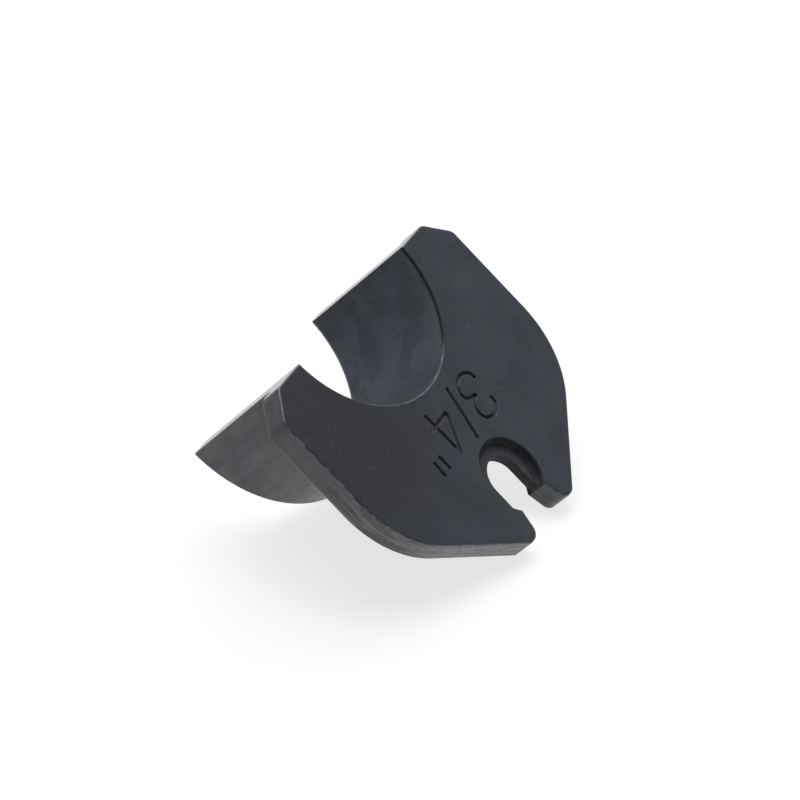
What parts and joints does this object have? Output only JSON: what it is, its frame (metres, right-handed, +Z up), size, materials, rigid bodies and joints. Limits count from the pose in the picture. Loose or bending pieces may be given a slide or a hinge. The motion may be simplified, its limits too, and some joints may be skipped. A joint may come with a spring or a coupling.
{
  "type": "press fitting tool jaw",
  "caption": "Half jaw of a hand press tool for pipe fittings: flat plate with a half-round pipe cradle behind one end and an open, counterbored pin slot at the other.",
  "frame": {"origin": "middle of the bounding box on the surface that the jaw lies on", "axes": "+Z up with the jaw lying as it comes to rest, on the low point of the cradle's far rim and on both prong tips; the plate leans 40.9 degrees about Y with its slot end down towards +X; the mirror plane of the jaw is Y = 0, and the pipe axis lies in it"},
  "size_m": [0.0312, 0.0374, 0.0202],
  "materials": {
    "blackened_steel": "black oxide steel, semi-matte"
  },
  "bodies": {
    "root": {"jaw": "blackened_steel"}
  },
  "joints": []
}
